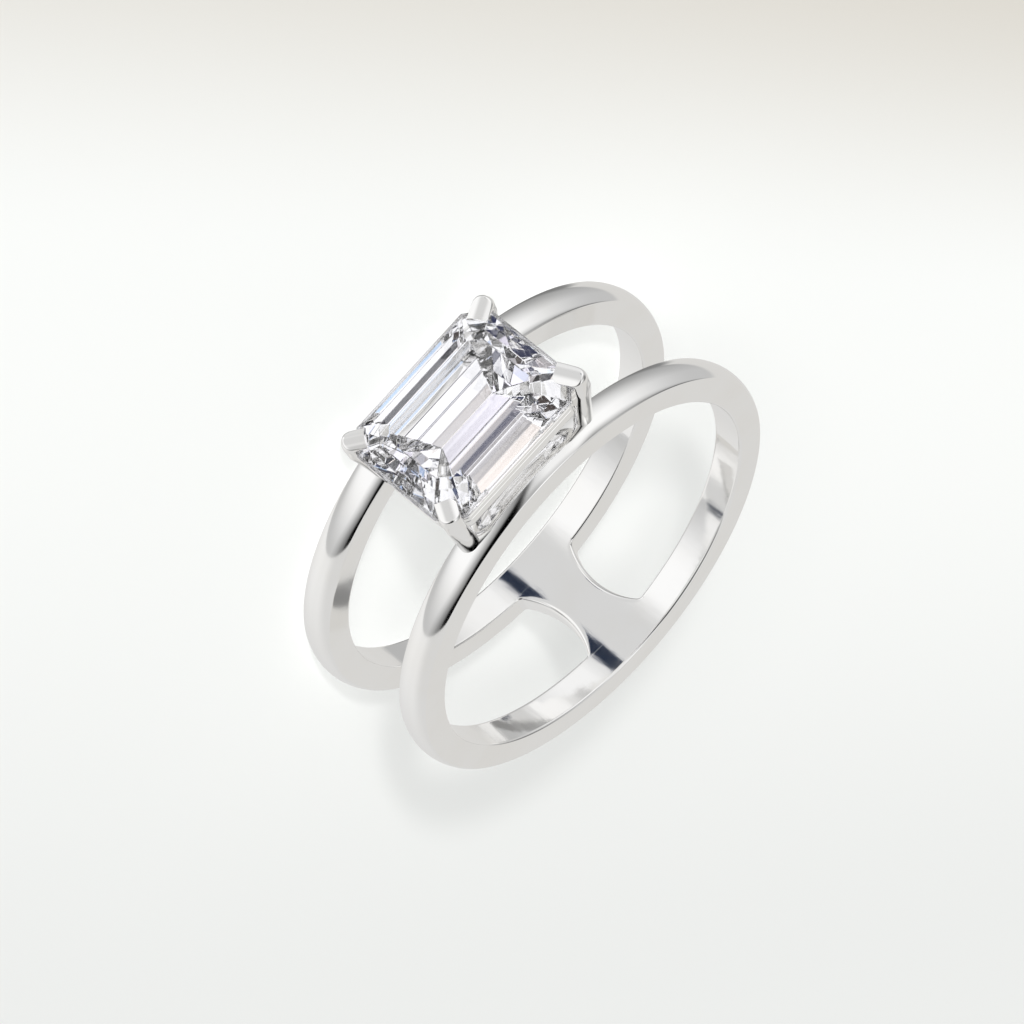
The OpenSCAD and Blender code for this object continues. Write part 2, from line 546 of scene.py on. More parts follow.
@dataclass(frozen=True)
class PolishedSilver:
    """Bright white silver with the faint swirls of the polishing wheel.

    Attributes:
        name: the material's name.
        colour: its colour where it is cleanest.
        dull_colour: its colour where it is dullest.
        roughness: its roughness where it is best polished.
        cloud_scale: how fine the dull clouds are.
        fine_scale: how fine the grain of the polish is.
        fine_height: the height of that grain.
        clouds: the noise between which it turns dull.
        cloud_rough: how much rougher it is there.
        hole_r: radius of the finger hole.
        hole_edge: how far outside that radius the hole's wall fades out.
        hole_smooth: how much smoother that wall is.
        strokes: the fine strokes on that wall: scale round it and along it, layers and height.
        swell: the slow waves on that wall, in the same way.
        relief: how deep all of these are.
        bump: how strongly they show.
    """

    name: str = "polished_silver"
    colour: Colour = (0.955, 0.952, 0.945)
    dull_colour: Colour = (0.941, 0.933, 0.917)
    roughness: float = 0.07
    cloud_scale: float = 450.0
    fine_scale: float = 5200.0
    fine_height: float = 0.25
    clouds: Span = (0.35, 0.75)
    cloud_rough: float = 0.03
    hole_r: float = 8.65 * MM
    hole_edge: Span = (0.12 * MM, 0.02 * MM)
    hole_smooth: float = 0.02
    strokes: tuple[float, float, float, float] = (260.0, 700.0, 3.0, 0.7)
    swell: tuple[float, float, float, float] = (9.0, 420.0, 2.0, 11.0)
    relief: float = 0.02 * MM
    bump: float = 0.05

    def material(self) -> bpy.types.Material:
        """Builds the material.

        Returns:
            The material, ready to be given to a piece.
        """
        made, graph, place = blank_material(self.name)
        cloud = graph.noise(place, self.cloud_scale, 3.0)
        x, y, z = graph.split(place)
        radius = (x * x + y * y).math("SQRT")
        inside = radius.step(*(self.hole_r + edge for edge in self.hole_edge))
        turn = x.math("ARCTAN2", y)
        height = graph.noise(place, self.fine_scale) * self.fine_height
        for round_scale, along_scale, layers, tall in (self.strokes, self.swell):
            at = graph.join(turn * round_scale, z * along_scale)
            height = height + graph.noise(at, 1.0, layers) * inside * tall
        rough = self.roughness + cloud * self.cloud_rough - inside * self.hole_smooth
        bump = graph.node(
            "ShaderNodeBump", inputs={"Strength": self.bump, "Distance": self.relief, "Height": height}
        )
        shade = graph.blend(cloud.step(*self.clouds), self.colour, self.dull_colour)
        metal = graph.node(
            "ShaderNodeBsdfPrincipled",
            inputs={"Base Color": shade, "Metallic": 1.0, "Roughness": rough, "Normal": bump},
        )
        graph.node("ShaderNodeOutputMaterial", inputs={"Surface": metal})
        return made


@dataclass(frozen=True)
class ClearGem:
    """Colourless stone that bends light hard.

    Attributes:
        name: the material's name.
        colour: its faint colour.
        bend: its index of refraction.
        calm: how much of the glare on its outside is taken away.
        wear_scale: how fine the marks of wear are.
        wear: the noise between which those marks come in.
        wear_rough: their roughness.
    """

    name: str = "clear_stone"
    colour: Colour = (0.99, 0.99, 0.99)
    bend: float = 2.65
    calm: float = 0.7
    wear_scale: float = 900.0
    wear: Span = (0.72, 0.9)
    wear_rough: float = 0.01

    def material(self) -> bpy.types.Material:
        """Builds the material.

        Returns:
            The material, ready to be given to a piece.
        """
        made, graph, place = blank_material(self.name)
        rough = graph.noise(place, self.wear_scale).step(*self.wear) * self.wear_rough
        clear = {"Color": opaque(self.colour), "Roughness": rough, "IOR": self.bend}
        glass = graph.node("ShaderNodeBsdfGlass", inputs=clear)
        calm = graph.node("ShaderNodeBsdfRefraction", inputs=clear)
        outside = 1 - graph.node("ShaderNodeNewGeometry").term("Backfacing")
        gem = graph.node("ShaderNodeMixShader", inputs={0: outside * self.calm, 1: glass, 2: calm})
        graph.node("ShaderNodeOutputMaterial", inputs={"Surface": gem})
        return made


@dataclass(frozen=True)
class PaleFloor:
    """Near-white floor, with painted shade that darkens it before the ring and, tinted beige, far behind it.

    Attributes:
        name: the material's name.
        colour: its colour.
        painted_near_shade: the colour of the painted shade before the ring.
        painted_far_shade: the colour of the painted shade, tinted beige, far behind the ring.
        across: the direction on the floor from behind the ring to before it.
        near: where along that direction the painted shade before the ring starts and is complete, in metres.
        far: where the painted shade far behind the ring does.
        cloud_scale: how fine its clouds are.
        cloud: how much of the painted near shade those clouds mix in.
        roughness: its roughness.
    """

    name: str = "pale_floor"
    colour: Colour = (0.898, 0.912, 0.895)
    painted_near_shade: Colour = (0.781, 0.793, 0.779)
    painted_far_shade: Colour = (0.65, 0.62, 0.56)
    across: tuple[float, float] = (0.734, 0.363)
    near: Span = (-6 * MM, 24 * MM)
    far: Span = (-8 * MM, -24 * MM)
    cloud_scale: float = 30.0
    cloud: float = 0.04
    roughness: float = 0.7

    def material(self) -> bpy.types.Material:
        """Builds the material.

        Returns:
            The material, ready to be given to a piece.
        """
        made, graph, place = blank_material(self.name)
        x, y, _ = graph.split(place)
        along = x * self.across[0] + y * self.across[1]
        cloud = graph.noise(place, self.cloud_scale)
        # Painted shade: the floor darkens before the ring, with faint clouds in it
        near_shade_share = along.step(*self.near) * (1 - self.cloud) + cloud * self.cloud
        shade = graph.blend(near_shade_share, self.colour, self.painted_near_shade)
        # Painted shade: the floor darkens far behind the ring, tinted beige
        shade = graph.blend(along.step(*self.far), shade, self.painted_far_shade)
        matt = graph.node(
            "ShaderNodeBsdfPrincipled", inputs={"Base Color": shade, "Roughness": self.roughness}
        )
        graph.node("ShaderNodeOutputMaterial", inputs={"Surface": matt})
        return made


# The ring


@dataclass(frozen=True)
class Layout:
    """Sizes that the sub-assemblies share, in millimetres.

    Attributes:
        hole_r: radius of the finger hole.
        side_r: radius at which a band's flat sides end.
        band_w: width of a band along the finger.
        gap: clear gap between the bands.
        mid_z: height of the plane between the bands.
        girdle_h: distance from the hole's axis to the stone's girdle.
        half_len: half the stone's length.
        half_wid: half the stone's width.
        inner_edge: rounding of a band's inner edges.
        outer_edge: rounding of a band's outer edges.
    """

    hole_r: float = 8.65
    side_r: float = 9.86
    band_w: float = 1.5
    gap: float = 4.1
    mid_z: float = 3.55
    girdle_h: float = 12.28
    half_len: float = 4.03
    half_wid: float = 3.12
    inner_edge: float = 0.12
    outer_edge: float = 0.12


@dataclass
class Bands:
    """The two bands: flat sides, a straight inside wall and a rounded outside.

    Attributes:
        layout: the shared sizes.
        dome: how far the rounded outside stands above the flat sides' edge.
        steps: how many steps a band is cut into round the finger.
    """

    layout: Layout
    dome: float = 0.22
    steps: int = 360

    def section(self) -> list[tuple[float, float]]:
        """Draws a band's section.

        Returns:
            Its points: the distance from the hole's wall and the place along the finger.
        """
        size = self.layout
        half = size.band_w / 2
        depth = size.side_r - size.hole_r
        dome_r = (half * half + self.dome * self.dome) / (2 * self.dome)
        dome_at = depth + self.dome - dome_r
        edge, inner = size.outer_edge, size.inner_edge
        edge_at = dome_at + math.sqrt((dome_r - edge) ** 2 - (half - edge) ** 2)
        lean = math.degrees(math.atan2(half - edge, edge_at - dome_at))
        points = [(0.0, 0.0), (0.0, half - inner - HOLD)]
        points += arc((inner, half - inner), inner, 180, 90, 8)
        points += [(inner + HOLD, half), (edge_at - HOLD, half)]
        points += arc((edge_at, half - edge), edge, 90, lean, 6)
        points += arc((dome_at, 0), dome_r, lean, 0, 16)[1:]
        mirrored = [(x, -z) for x, z in reversed(points[1:-1])]
        return points + mirrored

    def build(self, sweep: Sweep, finish: bpy.types.Material) -> bpy.types.Object:
        """Sweeps the section round the finger hole, once for each band.

        Args:
            sweep: the tree that sweeps a section along a path.
            finish: the metal's material.

        Returns:
            The two bands as one piece.
        """
        size = self.layout
        turns = np.linspace(0, 2 * math.pi, self.steps, endpoint=False)
        out = np.stack([np.cos(turns), np.sin(turns), np.zeros_like(turns)], 1)
        low = size.band_w / 2
        path = path_object(
            "bands", [out * size.hole_r + (0, 0, low)], [out.tolist()], [np.ones(self.steps)],
            [np.zeros(self.steps)], True
        )
        section = section_object("band_section", self.section())
        pitch = (size.gap + size.band_w) * MM
        return sweep.run(path, section, finish, Copies=2, Pitch=(0.0, 0.0, pitch))


@dataclass
class Bridge:
    """The plate with hollow sides that joins the two bands opposite the stone.

    Attributes:
        layout: the shared sizes.
        half: half its width at its narrowest.
        hollow_r: radius of its hollow sides.
        flare_r: radius of the flare where a side runs into a band.
        inner_edge: rounding of its edges on the finger's side, at its middle.
        outer_edge: rounding of its edges on the outside, at its middle.
    """

    # How many points each flat of the bridge is cut into, ends included
    ACROSS = 23

    layout: Layout
    half: float = 1.08
    hollow_r: float = 4.0
    flare_r: float = 0.28
    inner_edge: float = 0.3
    outer_edge: float = 0.14

    def side(self) -> list[tuple[float, float, float, float]]:
        """Draws half of the bridge's right side.

        Returns:
            Its points from its middle up: x, z and the direction out of the side, x, z.
        """
        reach = self.layout.gap / 2
        centre = self.half + self.hollow_r
        inset = self.hollow_r - self.flare_r
        flare_z = reach - self.flare_r
        flare_x = centre - math.sqrt(inset ** 2 - flare_z ** 2)
        meet = math.asin(flare_z / inset)
        points = []
        for x, z, radius, turns in (
            (centre, 0.0, self.hollow_r, np.linspace(0, meet, 17)),
            (flare_x, flare_z, self.flare_r, np.linspace(meet, math.pi / 2, 15)[1:]),
        ):
            for a in turns:
                out, down = math.cos(a), -math.sin(a)
                points.append((x - radius * out, z - radius * down, out, down))
        return points

    def row(self, x: float, z: float, out_x: float, out_z: float) -> list[Point]:
        """The bridge's outline at one height.

        Args:
            x: where its right side is.
            z: the height above its middle.
            out_x: the side's direction out, along the bridge's width.
            out_z: the same along the finger.

        Returns:
            The points round the bridge, with its inside and its outside bent round the finger hole.
        """
        size = self.layout
        far = (2 * z / size.gap) ** 2
        inner = part_way(self.inner_edge, size.inner_edge, far)
        outer = part_way(self.outer_edge, size.outer_edge, far)
        wall = arc((-inner, size.hole_r + inner), inner, -90, 0, 8)
        wall += [(0.0, size.hole_r + inner + HOLD), (0.0, size.side_r - outer - HOLD)]
        wall += arc((-outer, size.side_r - outer), outer, 0, 90, 7)
        right = [(x + d * out_x, r, z + d * out_z) for d, r in wall]
        left = [(-px, r, pz) for px, r, pz in reversed(right)]
        inside = np.linspace(left[-1], right[0], self.ACROSS)[1:-1].tolist()
        outside = np.linspace(right[-1], left[0], self.ACROSS)[1:-1].tolist()
        flat = inside + right + outside + left
        return [(px, math.sqrt(r * r - px * px), pz + size.mid_z) for px, r, pz in flat]

    def build(self, finish: bpy.types.Material) -> bpy.types.Object:
        """Lofts the bridge from one band to the other.

        Args:
            finish: the metal's material.

        Returns:
            The bridge.
        """
        half = self.side()
        stations = [(x, -z, out_x, -out_z) for x, z, out_x, out_z in reversed(half[1:])] + half
        rows = [self.row(*station) for station in stations]
        count = len(rows[0])
        last = (len(rows) - 1) * count
        faces = belts(0, last, count)
        faces += [tuple(range(count)), tuple(last + i for i in range(count))]
        piece = mesh_object("bridge", [p for row in rows for p in row], faces=faces)
        close_up(piece.data)
        piece.data.materials.append(finish)
        piece.data.shade_smooth()
        piece.data.set_sharp_from_angle(angle=SHARP)
        return piece


@dataclass
class GalleryRail:
    """The rail that runs round under the stone from claw to claw.

    Attributes:
        layout: the shared sizes.
        inset: how far it stays inside the stone's outline.
        drop: distance of its top below the girdle.
        height: its height.
        thickness: its thickness.
        corner: how far its corners are cut.
        grooves: how far below its top the fine grooves in its outside run.
        groove: their depth and half their width.
        lip: width of its top.
        slope: how far below its top its sloping inside ends.
        turn_r: rounding of its outline.
    """

    layout: Layout
    inset: float = 0.1
    drop: float = 0.16
    height: float = 1.15
    thickness: float = 0.46
    corner: float = 0.85
    grooves: tuple[float, ...] = (0.26, 0.56)
    groove: float = 0.028
    lip: float = 0.13
    slope: float = 0.68
    turn_r: float = 0.35

    def build(self, sweep: Sweep, finish: bpy.types.Material) -> bpy.types.Object:
        """Sweeps the rail's section round the stone's outline.

        Args:
            sweep: the tree that sweeps a section along a path.
            finish: the metal's material.

        Returns:
            The rail.
        """
        size = self.layout
        outline = octagon(size.half_len - self.inset, size.half_wid - self.inset, self.corner)
        flat = rounded(outline, [self.turn_r] * len(outline), 8, 2 * HOLD)
        top = size.girdle_h - self.drop
        path = np.array([(x, -top, z + size.mid_z) for x, z in flat])
        depth, down = self.thickness, self.height
        wall = [(0.0, 0.0)]
        for level in self.grooves:
            wall += [(0.0, level - self.groove), (self.groove, level), (0.0, level + self.groove)]
        wall += [(0.0, down), (depth, down), (depth, self.slope), (self.lip, 0.0)]
        # The rounding of each of the section's corners, in the same order
        radii = [0.05] + [0.01, 0.006, 0.01] * len(self.grooves) + [0.16, 0.05, 0.03, 0.03]
        section = rounded(wall, radii, 5, HOLD / 3)
        count = len(path)
        piece = path_object(
            "gallery_rail", [path], [[(0.0, 1.0, 0.0)] * count], [np.ones(count)], [np.zeros(count)], True
        )
        cut = section_object("rail_section", [(v, u) for u, v in section])
        return sweep.run(piece, cut, finish)


@dataclass(frozen=True)
class ClawBend:
    """How one claw is bent by hand, in millimetres and degrees.

    Attributes:
        side_x: its side along the stone's length.
        side_z: its side along the stone's width.
        foot_x: how far out its foot stands.
        inset_x: how far its bend stays inside the stone's length.
        inset_z: how far its bend stays inside the stone's width.
        turn: the turn of its tip.
        reach: the length of its tip.
    """

    side_x: int
    side_z: int
    foot_x: float
    inset_x: float
    inset_z: float
    turn: float
    reach: float


@dataclass
class Claws:
    """Four claws: each stands on a band, bends beside the stone and turns in over its corner.

    Attributes:
        layout: the shared sizes.
        bends: how each claw is bent.
        foot_h: height of a claw's foot.
        foot_z: how far a foot stands from the middle between the bands.
        rise: height of the bend above the girdle.
        lift: how far a tip rises over the stone.
        elbow: radius of a bend.
        across: half a claw's width at its foot.
        depth: half its depth there.
        knee: a claw's scale at its bend.
        tip: its scale at the end of its tip.
        nose: length over which a tip narrows to its round end.
        filed: height of the filed flat above the girdle.
        crown: how much the filed flat falls off to its sides, per millimetre.
        blend: how far the edge of the filed flat is rounded.
        boxed: how square a bar's section is, from 0 for round to 1.
    """

    # How many points a claw's leg, bend and tip have; the numbers in path() count along them
    LEG = 39
    BEND = 13
    TIP = 33

    layout: Layout
    bends: tuple[ClawBend, ...] = (
        ClawBend(1, 1, 3.45, 0.42, 0.36, 60, 0.79),
        ClawBend(-1, 1, 3.3, 0.03, 0.36, 66, 1.02),
        ClawBend(1, -1, 3.3, 0.23, 0.35, 39, 0.72),
        ClawBend(-1, -1, 3.3, 0.04, 0.56, 26, 0.84),
    )
    foot_h: float = 8.95
    foot_z: float = 2.62
    rise: float = 0.3
    lift: float = 0.13
    elbow: float = 0.14
    across: float = 0.45
    depth: float = 0.39
    knee: float = 0.68
    tip: float = 0.56
    nose: float = 0.75
    filed: float = 0.52
    crown: float = 0.5
    blend: float = 0.07
    boxed: float = 0.85

    def path(self, bend: ClawBend) -> tuple[np.ndarray, list[Point], list[float], list[float]]:
        """The middle line of one claw.

        Args:
            bend: how the claw is bent.

        Returns:
            Its points, and at each point the direction across it, its scale and how boxed it is.
        """
        size = self.layout
        turn = math.radians(bend.turn)
        foot = np.array([bend.foot_x, -self.foot_h, self.foot_z])
        knee = np.array((size.half_len, -size.girdle_h, size.half_wid))
        knee -= (bend.inset_x, self.rise, bend.inset_z)
        end = knee + (-math.cos(turn) * bend.reach, -self.lift, -math.sin(turn) * bend.reach)
        along = (end - knee) / np.linalg.norm(end - knee)
        down = foot - knee
        down /= np.linalg.norm(down)
        half = 0.5 * math.acos(float(down @ along))
        back = self.elbow / math.tan(half)
        middle = knee + (down + along) / np.linalg.norm(down + along) * self.elbow / math.sin(half)
        first, last = knee + down * back, knee + along * back
        low = [foot + (first - foot) * t for t in np.linspace(0, 1, self.LEG + 1)[:-1]]
        u, v = first - middle, last - middle
        span = math.acos(float(u @ v) / self.elbow ** 2)
        turned = [middle + (math.sin(span * (1 - t)) * u + math.sin(span * t) * v) / math.sin(span)
                  for t in np.linspace(0, 1, self.BEND)]
        high = [last + (end - last) * math.sin(t * math.pi / 2) for t in np.linspace(0, 1, self.TIP + 1)[1:]]
        points = np.array(low + turned + high)
        steps = np.linalg.norm(np.diff(points, axis=0), axis=1)
        run = np.concatenate([[0], np.cumsum(steps)])
        left = run[-1] - run
        scale = np.interp(run, run[[0, 26, self.LEG, -1]], [1, 1, self.knee, self.tip])
        cap = np.clip(1 - left / self.nose, 0, 1)
        scale = scale * np.sqrt(np.clip(1 - cap ** 2, 0.0004, 1))
        flip = np.array([bend.side_x, 1, bend.side_z])
        tip_side = np.cross(down, along)
        tip_side /= np.linalg.norm(tip_side)
        lengthways = abs(tip_side[0]) > abs(tip_side[2])
        square = np.array([1.0, 0.0, 0.0] if lengthways else [0.0, 0.0, 1.0])
        bar_side = square * np.sign(square @ tip_side)
        bar_side -= down * (bar_side @ down)
        turned_by = np.interp(run, run[[0, 18, 40, -1]], [0.8, 0.8, 1, 1])[:, None]
        sides = bar_side * (1 - turned_by) + tip_side * turned_by
        sides = sides / np.linalg.norm(sides, axis=1, keepdims=True) * flip
        boxed = np.interp(run, run[[0, 20, 32, 45, -1]], [0, 0.3, 1, 0, 0]) * self.boxed
        points = points * flip + (0, 0, size.mid_z)
        return points, [tuple(side) for side in sides], scale.tolist(), boxed.tolist()

    def build(self, sweep: Sweep, finish: bpy.types.Material,
              pocket: bpy.types.Object) -> bpy.types.Object:
        """Sweeps the four claws, files their tips flat and cuts the stone's seat into them.

        Args:
            sweep: the tree that sweeps a section along a path.
            finish: the metal's material.
            pocket: the stone with the slack round it.

        Returns:
            The four claws as one piece.
        """
        paths, sides, thick, boxed = zip(*(self.path(bend) for bend in self.bends))
        piece = path_object("claws", paths, sides, thick, boxed, False)
        oval = [(self.across * x, self.depth * y) for x, y in arc((0, 0), 1.0, 0, 360, 48)[:-1]]
        section = section_object("claw_section", oval)
        height = -(self.layout.girdle_h + self.filed) * MM
        sweep.run(
            piece, section, finish, Closed_ends=True, Filed_height=height, Filed_blend=self.blend * MM,
            Filed_crown=self.crown / MM,
        )
        cut = piece.modifiers.new("seat", "BOOLEAN")
        cut.operation = "DIFFERENCE"
        cut.solver = "MANIFOLD"
        cut.object = pocket
        settle(piece)
        piece.data.set_sharp_from_angle(angle=SHARP)
        return piece


@dataclass
class Stone:
    """The step cut stone: a table, a stepped crown, a thin girdle and a stepped pavilion down to a keel.

    Attributes:
        layout: the shared sizes.
        girdle_t: thickness of the girdle.
        corner: how far its corners are cut.
        table: half the table's length and width, as shares of the stone's.
        table_corner: how far the table's corners are cut.
        crown_h: height of the crown.
        pavilion_h: depth of the pavilion.
        keel_half: half the keel's length, as a share of the stone's.
        crown: run and rise of each crown layer, as shares from the girdle to the table.
        pavilion: run and drop of each pavilion layer, as shares from the girdle to the keel.
        keel_loss: how much of a corner's cut is gone at the keel.
        edge: width of the fine edges between its facets.
    """

    layout: Layout
    girdle_t: float = 0.12
    corner: float = 0.9
    table: tuple[float, float] = (0.69, 0.58)
    table_corner: float = 0.5
    crown_h: float = 0.69
    pavilion_h: float = 3.05
    keel_half: float = 0.375
    crown: tuple[tuple[float, float], ...] = ((0.38, 0.46), (0.7, 0.8), (1.0, 1.0))
    pavilion: tuple[tuple[float, float], ...] = ((0.269, 0.327), (0.722, 0.763))
    keel_loss: float = 0.9
    edge: float = 0.02

    def layer(self, a: float, b: float, c: float, h: float) -> list[Point]:
        """Eight points round the stone: half sizes a and b, corners cut by c, h from the hole's axis."""
        return [(x, -h, z + self.layout.mid_z) for x, z in octagon(a, b, c)]

    def shape(self, name: str, grow: float) -> bpy.types.Object:
        """Makes the stone's facets.

        Args:
            name: the object's name.
            grow: how much larger than the stone it is all round.

        Returns:
            The faceted object.
        """
        size = self.layout
        length, width = size.half_len, size.half_wid
        table = (self.table[0] * length, self.table[1] * width)
        keel = self.keel_half * length
        top = size.girdle_h + self.girdle_t / 2 + grow
        low = size.girdle_h - self.girdle_t / 2 - grow
        points: list[Point] = []
        for run, rise in (*reversed(self.crown), (0.0, 0.0)):
            points += self.layer(
                part_way(length, table[0], run) + grow, part_way(width, table[1], run) + grow,
                part_way(self.corner, self.table_corner, run), top + self.crown_h * rise,
            )
        for run, drop in ((0.0, 0.0), *self.pavilion):
            points += self.layer(
                part_way(length, keel, run) + grow, width * (1 - run) + grow,
                self.corner * (1 - self.keel_loss * run), low - self.pavilion_h * drop,
            )
        last = len(points) - 8
        bottom = low - self.pavilion_h
        points += [(keel, -bottom, size.mid_z), (-keel, -bottom, size.mid_z)]
        right, left = last + 8, last + 9
        ends = ((right,), (left, right), (left,), (left,), (left,), (right, left), (right,), (right,))
        faces = [tuple(range(8))] + belts(0, last, 8)
        faces += [(last + i, last + (i + 1) % 8, *end) for i, end in enumerate(ends)]
        piece = mesh_object(name, points, faces=faces)
        close_up(piece.data)
        return piece

    def build(self, finish: bpy.types.Material) -> bpy.types.Object:
        """Makes the stone with fine edges between its facets.

        Args:
            finish: the stone's material.

        Returns:
            The stone.
        """
        piece = self.shape("step_cut_stone", 0.0)
        edge = piece.modifiers.new("edges", "BEVEL")
        edge.width = self.edge * MM
        edge.segments = 1
        edge.limit_method = "NONE"
        settle(piece)
        piece.data.materials.append(finish)
        return piece


# The stage


def hide_from_shine(thing: bpy.types.Object) -> None:
    """Leaves an object out of what the metal and the stone pick up."""
    thing.visible_glossy = False
    thing.visible_transmission = False


@dataclass(frozen=True)
class Card:
    """One round card among the bright walls, which only the stone picks up.

    Attributes:
        turn: where it hangs, in degrees round from straight before the stone.
        rise: its height, in degrees above level.
        spread: half its apparent width, in degrees.
        soft: half the width of its edge, in degrees.
        shade: what is left of the light where it hangs, for each colour.
        rim: what is left of the light in a thin rim round it.
        rim_at: where that rim starts and is complete, in degrees outside the card.
    """

    turn: float
    rise: float
    spread: float
    soft: float
    shade: Colour
    rim: Colour = WHITE
    rim_at: Span = (1.8, 0.6)

    def cover(self, graph: Graph, way: Term, light: Colour | Term) -> Term:
        """Takes this card's part out of the light from each direction.

        Args:
            graph: the tree to add to.
            way: the direction.
            light: the light's colour so far.

        Returns:
            The colour that is left.
        """
        turn, rise = math.radians(self.turn), math.radians(self.rise)
        middle = (math.sin(turn) * math.cos(rise), -math.cos(turn) * math.cos(rise), math.sin(rise))
        near = graph.vector("DOT_PRODUCT", {0: way, 1: middle}, "Value")
        inside = near.step(self.reach(self.soft), self.reach(-self.soft))
        light = graph.blend(inside, light, self.shade, "MULTIPLY")
        if self.rim == WHITE:
            return light
        edge = near.step(*(self.reach(self.soft + at) for at in self.rim_at)) * (1 - inside)
        return graph.blend(edge, light, self.rim, "MULTIPLY")

    def reach(self, more: float) -> float:
        """The cosine of the angle from the card's middle to its edge and some degrees more."""
        return math.cos(math.radians(max(self.spread + more, 0.0)))


@dataclass(frozen=True)
class Lamp:
    """A far lamp for the floor, which leaves no spot of its own in the metal or the stone.

    Attributes:
        name: its name.
        away: the direction from the ring to the lamp.
        width: how wide it looks from the ring, in degrees.
        strength: its strength.
        shadow: whether it casts shadows.
        distance: how far from the ring it hangs, in metres.
    """

    name: str
    away: Point
    width: float
    strength: float
    shadow: bool = True
    distance: float = 0.4

    def hang(self) -> bpy.types.Object:
        """Adds the lamp to the scene.

        Returns:
            The lamp.
        """
        data = bpy.data.lights.new(self.name, "SUN")
        data.angle = math.radians(self.width)
        data.energy = self.strength
        data.use_shadow = self.shadow
        lamp = bpy.data.objects.new(self.name, data)
        away = Vector(self.away).normalized()
        turned = away.to_track_quat("Z", "Y").to_matrix().to_4x4()
        lamp.matrix_world = Matrix.Translation(away * self.distance) @ turned
        hide_from_shine(lamp)
        bpy.context.scene.collection.objects.link(lamp)
        return lamp


NIGHT, INK, NAVY = (0.0, 0.0, 0.01), (0.0, 0.005, 0.05), (0.03, 0.04, 0.12)
SMOKE, BROWN, SAND, SKY = (0.14, 0.14, 0.18), (0.05, 0.035, 0.03), (0.42, 0.4, 0.4), (0.36, 0.46, 0.66)
BLUE_RIM, AMBER_RIM, LILAC_RIM = (0.55, 0.74, 1.0), (1.0, 0.92, 0.85), (0.94, 0.91, 1.0)


@dataclass(frozen=True)
class Shading:
    """One change of a wall's brightness, which comes in round the ring, up the wall or both.

    Attributes:
        change: how much it adds, where 255 is white.
        turn: where it starts and is complete, in degrees round from straight before the stone.
        rise: where it starts and is complete, in degrees above level.
        smooth: whether it starts and ends gently.
    """

    change: float
    turn: Span | None = None
    rise: Span | None = None
    smooth: bool = True

    def amount(self, turn: Term, rise: Term) -> Term:
        """What it adds in one direction."""
        spans = ((turn, self.turn), (rise, self.rise))
        return math.prod((at.step(*span, self.smooth) for at, span in spans if span), start=self.change)


@dataclass(frozen=True)
class Wall:
    """One side of the studio.

    Attributes:
        level: its brightness before its changes, where 255 is white.
        shadings: those changes.
    """

    level: float
    shadings: tuple[Shading, ...]

    def light(self, turn: Term, rise: Term) -> Term:
        """Its brightness in one direction."""
        return sum((shading.amount(turn, rise) for shading in self.shadings), start=self.level)


@dataclass(frozen=True)
class Patch:
    """An oval patch of even light on the walls.

    Attributes:
        turn: its middle, in degrees round from straight before the stone.
        rise: its middle's height, in degrees above level.
        half_turn: half its width, in degrees.
        half_rise: half its height, in degrees.
        level: its brightness, where 255 is white.
        fade: where it starts to fade and is gone, in half widths.
    """

    turn: float
    rise: float
    half_turn: float
    half_rise: float
    level: float
    fade: Span

    def share(self, turn: Term, rise: Term) -> Term:
        """How much of a direction's light it takes over.

        Args:
            turn: the direction's degrees round.
            rise: its degrees above level.

        Returns:
            A share from 0 to 1.
        """
        across = (turn - self.turn) / self.half_turn
        up = (rise - self.rise) / self.half_rise
        return (across * across + up * up).math("SQRT").step(*reversed(self.fade))


@dataclass(frozen=True)
class Front:
    """The side before the ring: a bright wall that shades off into one dark opening.

    Attributes:
        foot: where it starts to shade off, in degrees above level.
        drop: how much lower that is at its right end.
        drop_at: where that drop comes in, in degrees round.
        side: where it starts to shade off to the left, in degrees round.
        side_at: the heights between which that comes in.
        size: the degrees across and up that count as one on its curve.
        curve: its brightness by how far from those two edges a direction is.
        dim: what its right end loses, as a share.
        dim_at: where that comes in, in degrees round.
        top: its brightness near the top.
        top_at: where that comes in, in degrees above level.
    """

    foot: float = -3.0
    drop: float = 12.0
    drop_at: Span = (50.0, 78.0)
    side: float = 34.0
    side_at: Span = (-14.0, 4.0)
    size: Span = (40.0, 33.0)
    curve: tuple[Span, ...] = (
        (0.0, 250), (0.39, 212), (0.6, 176), (0.79, 143), (0.9, 85), (0.98, 25), (1.05, 7), (1.5, 6),
        (1.9, 110), (2.3, 180),
    )
    dim: float = 0.24
    dim_at: Span = (40.0, 86.0)
    top: float = 235.0
    top_at: Span = (62.0, 85.0)

    def light(self, graph: Graph, turn: Term, rise: Term) -> Term:
        """Its brightness in one direction.

        Args:
            graph: the tree to add to.
            turn: the direction's degrees round.
            rise: its degrees above level.

        Returns:
            The brightness, where 255 is white.
        """
        above = (rise - self.foot + turn.step(*self.drop_at) * self.drop).at_least(0.0) / self.size[1]
        beside = (self.side - turn).at_least(0.0) * rise.step(*self.side_at) / self.size[0]
        far = (above * above + beside * beside).math("SQRT")
        light = self.read(graph, far) * (1 - turn.step(*self.dim_at) * self.dim)
        return part_way(light, self.top, rise.step(*self.top_at))

    def read(self, graph: Graph, far: Term) -> Term:
        """Reads its curve.

        Args:
            graph: the tree to add to.
            far: where on the curve to read.

        Returns:
            The brightness there.
        """
        span = self.curve[-1][0]
        placed = graph.node("ShaderNodeFloatCurve", inputs={"Value": far / span})
        mapping = placed.node.mapping
        points = [(at / span, level / 255) for at, level in self.curve]
        mapping.curves[0].points[0].location = points[0]
        mapping.curves[0].points[-1].location = points[-1]
        for point in points[1:-1]:
            mapping.curves[0].points.new(*point)
        mapping.update()
        return placed.term() * 255


